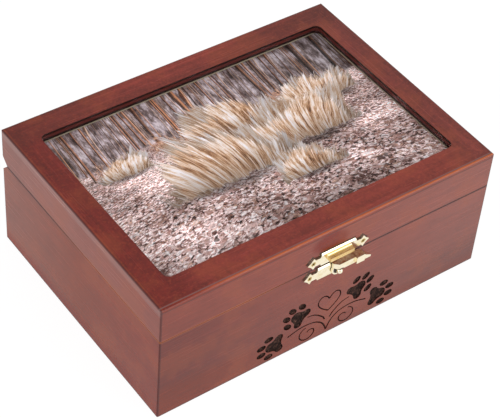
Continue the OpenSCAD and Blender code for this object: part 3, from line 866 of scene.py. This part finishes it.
# The motif on the front, in millimetres: across from its middle line, and up from the base. The left
# half is written here, and the right half mirrors it. A paw has its middle and the angle it points along,
# and its pad and toes lie ahead of that middle and aside from it.
LINE_MIDDLE = 1.15
PAW_MIDDLE = 0.93
PAD_OUTLINE = (
    (5.4, 0.0), (5.0, 1.5), (3.8, 2.6), (2.0, 3.1), (0.6, 3.9), (-0.3, 5.0), (-1.8, 5.5), (-3.3, 4.8),
    (-3.8, 3.3), (-3.2, 1.6), (-2.9, 0.0),
)
TOES = ((7.5, 2.25), (3.7, 5.6), (7.5, -2.25), (3.7, -5.6))
TOE_LONG = 2.35
TOE_WIDE = 1.6
TOE_SIDES = 20
PAWS = (((-15.25, 18.4), 141), ((-27.15, 8.6), 183))
LINES = {
    "heart": (
        (0.0, 21.8), (-1.3, 23.7), (-3.2, 24.7), (-5.1, 23.9), (-6.0, 21.6), (-5.2, 19.3), (-3.0, 16.8),
        (-1.0, 15.2), (0.05, 14.4),
    ),
    "outer": (
        (0.05, 2.3), (-1.5, 6.0), (-3.3, 8.4), (-6.0, 10.3), (-9.0, 11.2), (-12.0, 11.45), (-14.8, 11.3),
        (-17.7, 10.6), (-21.2, 9.4),
    ),
    "inner": ((-1.3, 9.4), (-2.45, 11.5), (-4.2, 13.2), (-6.0, 14.7), (-8.3, 15.9), (-11.3, 16.4)),
    "curl": (
        (-11.4, 9.7), (-13.3, 8.8), (-14.5, 6.8), (-14.3, 4.4), (-12.7, 2.6), (-10.4, 1.9), (-8.0, 2.8),
        (-6.8, 4.7), (-7.0, 6.5), (-8.3, 7.4), (-9.9, 7.2), (-10.5, 6.3),
    ),
}
# The width of each line at its start, its middle and its end.
LINE_WIDTHS = {
    "heart": (0.7, 0.62, 0.7), "outer": (0.85, 0.62, 0.75),
    "inner": (0.75, 0.7, 0.45), "curl": (0.5, 0.76, 0.5),
}
PAW_DEPTH = 0.6
LINE_DEPTH = 0.4
BURN_SEED = 7
BURN_STEP = 0.5
BURN_RELIEF = 0.09
CURVE_STEPS = 5


def smooth_path(points, closed=False):
    """A Catmull-Rom curve through the points."""
    found = []
    count = len(points)
    for i in range(count if closed else count - 1):
        near = [k % count if closed else min(max(k, 0), count - 1) for k in range(i - 1, i + 3)]
        a, b, c, d = (Vector(points[k]) for k in near)
        for step in range(CURVE_STEPS):
            t = step / CURVE_STEPS
            found.append(0.5 * (2 * b + (c - a) * t + (2 * a - 5 * b + 4 * c - d) * t ** 2
                                + (3 * b - a - 3 * c + d) * t ** 3))
    if not closed:
        found.append(Vector(points[-1]))
    return found


def line_outline(points, widths):
    """The outline of one engraved line, which tapers between its three widths."""
    path = smooth_path(points)
    left, right = [], []
    last = len(path) - 1
    for i, point in enumerate(path):
        run = path[min(i + 1, last)] - path[max(i - 1, 0)]
        side = Vector((-run.y, run.x)).normalized()
        t = 2 * i / last
        near, far = (widths[0], widths[1]) if t < 1 else (widths[1], widths[2])
        half = (near + (far - near) * (t if t < 1 else t - 1)) / 2
        left.append(point + side * half)
        right.append(point - side * half)
    return left + right[::-1]


def paw_outlines(middle, lean):
    """The pad and four toes of one paw print that points along an angle in degrees."""
    turn = math.radians(lean)
    ahead = Vector((math.cos(turn), math.sin(turn)))
    aside = Vector((ahead.y, -ahead.x))
    middle = Vector(middle)
    pad = [*PAD_OUTLINE, *((f, -s) for f, s in PAD_OUTLINE[-2:0:-1])]
    shapes = [smooth_path(pad, closed=True)]
    angles = [math.radians(360 * k / TOE_SIDES) for k in range(TOE_SIDES)]
    for f, s in TOES:
        shapes.append([Vector((f + TOE_LONG * math.cos(a), s + TOE_WIDE * math.sin(a))) for a in angles])
    return [[middle + ahead * p.x + aside * p.y for p in shape] for shape in shapes]


def motif():
    """Every outline of the motif with its depth, in metres on the front face."""
    half = []
    for middle, lean in PAWS:
        half += [(shape, PAW_MIDDLE, PAW_DEPTH) for shape in paw_outlines(middle, lean)]
    for name, points in LINES.items():
        half.append((line_outline(points, LINE_WIDTHS[name]), LINE_MIDDLE, LINE_DEPTH))
    return [([Vector((centre + side * p.x, p.y)) * MM for p in shape], depth * MM)
            for side in (1, -1) for shape, centre, depth in half]


def loop(points):
    """The edges of a closed outline, each as its two ends."""
    return list(zip(points, points[1:] + points[:1]))


def extent(points):
    """The low and high corners of the box round an outline."""
    return [Vector((end(p.x for p in points), end(p.y for p in points))) for end in (min, max)]


def inside(point, edges):
    """Whether a point lies inside a rim, by counting the edges to one side of it."""
    hit = False
    for before, after in edges:
        if (before.y > point.y) != (after.y > point.y):
            if point.x < before.x + (point.y - before.y) * (after.x - before.x) / (after.y - before.y):
                hit = not hit
    return hit


def burn_points(outline):
    """Points scattered on a grid inside an outline, so that its floor can be uneven."""
    draw = random.Random(BURN_SEED)
    step = BURN_STEP * MM
    low, high = extent(outline)
    edges = loop(outline)
    found = []
    for i in range(int((high.x - low.x) / step)):
        for j in range(int((high.y - low.y) / step)):
            shake = Vector((draw.uniform(0.2, 0.8), draw.uniform(0.2, 0.8)))
            point = low + (Vector((i, j)) + shake) * step
            if inside(point, edges):
                found.append(point)
    return found


def carve(bm, rim, rim_edges, outlines, face_y, scatter=()):
    """Fills a flat rim at face_y with a face that has the outlines sunk into it, walls and floors included.

    The rim is a list of vertices, and each outline comes with its depth along +Y."""
    places = [Vector((v.co.x, v.co.z)) for v in rim]
    points = list(places)
    edges = list(rim_edges)
    for outline, _ in outlines:
        first = len(points)
        points += outline
        edges += loop(list(range(first, len(points))))
    points += scatter
    flat, _, triangles, origin, _, _ = geometry.delaunay_2d_cdt(points, edges, [], 0, SNAP)
    border = [(places[i], places[j]) for i, j in rim_edges]
    sunk = [(*extent(outline), loop(outline), depth) for outline, depth in outlines]
    made = {}

    def corner(index, depth):
        """The vertex for a flat point at a depth: the rim's own vertex where it is one."""
        key = (index, depth)
        if key not in made:
            kept = [k for k in origin[index] if k < len(rim)]
            if depth == 0 and kept:
                made[key] = rim[kept[0]]
            else:
                place = flat[index]
                made[key] = bm.verts.new((place.x, face_y + depth, place.y))
        return made[key]

    seams = {}
    for triangle in triangles:
        middle = sum((flat[i] for i in triangle), Vector((0, 0))) / 3
        if not inside(middle, border):
            continue
        depth = 0
        for low, high, walls, deep in sunk:
            if low.x < middle.x < high.x and low.y < middle.y < high.y and inside(middle, walls):
                depth = max(depth, deep)
        face = bm.faces.new([corner(i, depth) for i in triangle])
        face.material_index = 1 if depth else 0
        for i, j in loop(triangle):
            seams.setdefault(tuple(sorted((i, j))), []).append((depth, i, j))
    for sides in seams.values():
        if len(sides) == 2 and sides[0][0] != sides[1][0]:
            (shallow, i, j), (deep, _, _) = sorted(sides)
            ends = ((j, shallow), (i, shallow), (i, deep), (j, deep))
            face = bm.faces.new([corner(*end) for end in ends])
            face.material_index = 1


COARSE_BURN = 900
FINE_BURN = 2300
FINE_SHARE = 0.6


def roughen(bm, deep):
    """Makes the paws' burnt floors uneven, as the beam leaves them."""
    for v in bm.verts:
        if abs(v.co.y - FRONT - deep) < WELD:
            height = noise.noise(v.co * COARSE_BURN) + FINE_SHARE * noise.noise(v.co * FINE_BURN)
            v.co.y += BURN_RELIEF * MM * height


def engraved_front(wood, char):
    """The front wall with the motif burnt into it."""
    bm = node_bmesh("front_wall")
    rim, edges = open_front(bm)
    outlines = motif()
    scatter = []
    for outline, depth in outlines:
        if depth == PAW_DEPTH * MM:
            scatter += burn_points(outline)
    carve(bm, rim, edges, outlines, FRONT, scatter)
    roughen(bm, PAW_DEPTH * MM)
    bmesh.ops.recalc_face_normals(bm, faces=bm.faces)
    mesh = smooth_mesh(bm, "front_wall_engraved", angle=30)
    add_piece("front_wall_engraved", mesh, [wood, char], "box", "front_wood", "front_wall")


def open_front(bm):
    """Takes the flat front face out of the wall's mesh, and returns its rim as vertices and edges."""
    faces = [f for f in bm.faces if all(abs(v.co.y - FRONT) < FLUSH for v in f.verts)]
    chosen = set(faces)
    edges = sorted({e for f in faces for e in f.edges}, key=lambda e: e.index)
    rim_edges = [e for e in edges if sum(f in chosen for f in e.link_faces) == 1]
    rim = sorted({v for e in rim_edges for v in e.verts}, key=lambda v: v.index)
    place = {v: i for i, v in enumerate(rim)}
    pairs = [(place[e.verts[0]], place[e.verts[1]]) for e in rim_edges]
    bmesh.ops.delete(bm, geom=faces, context="FACES_ONLY")
    bmesh.ops.delete(bm, geom=[e for e in bm.edges if not e.link_faces], context="EDGES")
    return rim, pairs


# Sizes of the screws, in millimetres
HEAD_SINK = 0.12
HEAD_R = 1.2
HEAD_FACE_R = 1.12
HEAD_DEPTH = 0.6
SHANK_R = 0.55
CROSS_LONG = 0.72
CROSS_WIDE = 0.17
CROSS_DEPTH = 0.42
RING_SIDES = 24


def ring(bm, middle, radius, y):
    """A ring of vertices round a screw's axis."""
    angles = [2 * math.pi * k / RING_SIDES for k in range(RING_SIDES)]
    return [bm.verts.new((middle.x + radius * MM * math.cos(a), y, middle.z + radius * MM * math.sin(a)))
            for a in angles]


def cross_outline(middle, turn):
    """The outline of a cross recess, turned as the screw was left."""
    a, b = CROSS_LONG, CROSS_WIDE
    arm = [(a, -b), (a, b), (b, b)]
    found = []
    for quarter in range(4):
        for x, z in arm:
            angle = math.radians(turn + 90 * quarter)
            found.append(Vector((middle.x + (x * math.cos(angle) - z * math.sin(angle)) * MM,
                                 middle.z + (x * math.sin(angle) + z * math.cos(angle)) * MM)))
    return found


def make_screws(node, body, turns, materials):
    """Small countersunk screws with cross recesses, seated a little below the face of the plate."""
    low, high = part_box(node)
    face = low.y + HEAD_SINK * MM
    steps = loop(list(range(RING_SIDES)))
    bm = bmesh.new()
    for x, turn in zip((low.x + HEAD_R * MM, high.x - HEAD_R * MM), turns):
        middle = Vector((x, 0, (low.z + high.z) / 2))
        rings = [ring(bm, middle, radius, y) for radius, y in (
            (HEAD_FACE_R, face), (SHANK_R, face + HEAD_DEPTH * MM), (SHANK_R, high.y - SHANK_R * MM))]
        tip = bm.verts.new((middle.x, high.y, middle.z))
        for near, far in zip(rings, rings[1:]):
            for k, after in steps:
                bm.faces.new((near[k], near[after], far[after], far[k]))
        for k, after in steps:
            bm.faces.new((rings[-1][k], rings[-1][after], tip))
        carve(bm, rings[0], steps, [(cross_outline(middle, turn), CROSS_DEPTH * MM)], face)
    bmesh.ops.recalc_face_normals(bm, faces=bm.faces)
    add_piece(node + "_cut", smooth_mesh(bm, node + "_cut", angle=35), materials, body, "screw_brass", node)


PANE_PLAY = 0.03
PANE_ARRIS = 0.15


def make_pane(material):
    """The pane, a hair clear of the board above and the print below, with its edges ground."""
    low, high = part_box("window_pane")
    play = PANE_PLAY * MM
    bm = bmesh.new()
    bmesh.ops.create_cube(bm, size=1.0)
    for v in bm.verts:
        v.co = Vector((low[k] + play if v.co[k] < 0 else high[k] - play) for k in range(3))
    bmesh.ops.bevel(bm, geom=list(bm.edges), offset=PANE_ARRIS * MM, segments=2, profile=0.5, affect="EDGES")
    mesh = plain_mesh(bm, "window_glazing")
    add_piece("window_glazing", mesh, [material], "lid", "clear_pane", "window_pane")


FELT_STEP = 2.0
FELT_EDGE = 0.15
FELT_DIP = 0.10
FELT_RIM_DIP = 0.25
FELT_WAVES = 160


def make_felt(node, name, body, up, material):
    """A sheet of felt cut to fit, with a soft face and edges. up is 1 where it faces up, and -1 down."""
    low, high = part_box(node)
    edge = FELT_EDGE * MM
    count_x = round((high.x - low.x) / MM / FELT_STEP)
    count_y = round((high.y - low.y) / MM / FELT_STEP)
    glued = low.z if up > 0 else high.z
    face = high.z if up > 0 else low.z
    columns = range(count_x + 1)
    rows = range(count_y + 1)
    bm = bmesh.new()
    grids = []
    for level, depth in ((0, glued), (1, face)):
        grid = []
        for j in rows:
            row = []
            for i in columns:
                x = low.x + edge + (high.x - low.x - 2 * edge) * i / count_x
                y = low.y + edge + (high.y - low.y - 2 * edge) * j / count_y
                rough = 0.5 + 0.5 * noise.noise(Vector((x, y, 0.0)) * FELT_WAVES)
                rim = min(i, j, count_x - i, count_y - j) == 0
                dip = up * MM * (FELT_DIP * rough + (FELT_RIM_DIP if rim else 0.0)) if level else 0.0
                row.append(bm.verts.new((x, y, depth - dip)))
            grid.append(row)
        grids.append(grid)
    for grid in grids:
        for j in range(count_y):
            for i in range(count_x):
                bm.faces.new((grid[j][i], grid[j][i + 1], grid[j + 1][i + 1], grid[j + 1][i]))
    for line in (
        [(0, i) for i in columns], [(count_y, i) for i in columns],
        [(j, 0) for j in rows], [(j, count_x) for j in rows],
    ):
        for (j, i), (q, p) in zip(line, line[1:]):
            bm.faces.new((grids[0][j][i], grids[0][q][p], grids[1][q][p], grids[1][j][i]))
    bmesh.ops.recalc_face_normals(bm, faces=bm.faces)
    felt = add_piece(name, smooth_mesh(bm, name, angle=50), [material], body, "felt", node)


def main():
    bpy.context.scene.view_settings.view_transform = "Standard"
    make_camera()
    make_world()
    make_lamps()
    make_floor()

    bright = ("#f8eed2", "#e2cf98", 0.10, 0.06)
    materials = {
        **{slot: wood_material(slot) for slot in WOOD_IOR},
        "base_wood": board_material(
            "base_plywood", ((0.3, "#6e4431"), (0.5, "#8a5a42"), (0.7, "#a06c50")), 0.25, 0.06, 0.6),
        "backing": board_material(
            "brown_fibreboard", ((0.3, "#4c3726"), (0.5, "#644a34"), (0.7, "#7b5d43")), 0.6, 1.0, 0.8),
        "felt": felt_material(),
        "clear_pane": pane_material(),
        "print": print_material(),
        "latch_brass": metal_material("plate_brass", *bright, painted_light=plate_painted_light),
        "screw_brass": metal_material("dull_brass", "#c9ad6c", "#8f7440", 0.28, 0.12),
        "hinge_brass": metal_material("brushed_brass", "#d9bb78", "#a98a4c", 0.25, 0.15, (0.1, 1.0, 1.0)),
        "point_steel": metal_material("spring_steel", "#a9adb0", "#83878a", 0.3, 0.15, (0.2, 1.0, 1.0)),
    }
    for node in NODES.values():
        for index, held in enumerate(node.data.materials):
            node.data.materials[index] = materials[held.name.split(".")[0]]

    brass = materials["latch_brass"]
    softened("latch_lower_plate", "box", brass, PLATE_ROUND)
    softened("latch_upper_plate", "lid", brass, PLATE_ROUND)
    softened("latch_lever", "lever", metal_material("lever_brass", *bright, painted_light=lever_painted_light), LEVER_ROUND)
    screw_looks = [materials["screw_brass"], recess_material()]
    make_screws("latch_lower_screws", "box", (20, 64), screw_looks)
    make_screws("latch_upper_screws", "lid", (38, 5), screw_looks)
    engraved_front(materials["front_wood"], char_material())
    make_pane(materials["clear_pane"])
    make_felt("floor_felt", "floor_lining", "box", 1, materials["felt"])
    make_felt("backing_felt", "lid_lining", "lid", -1, materials["felt"])


main()
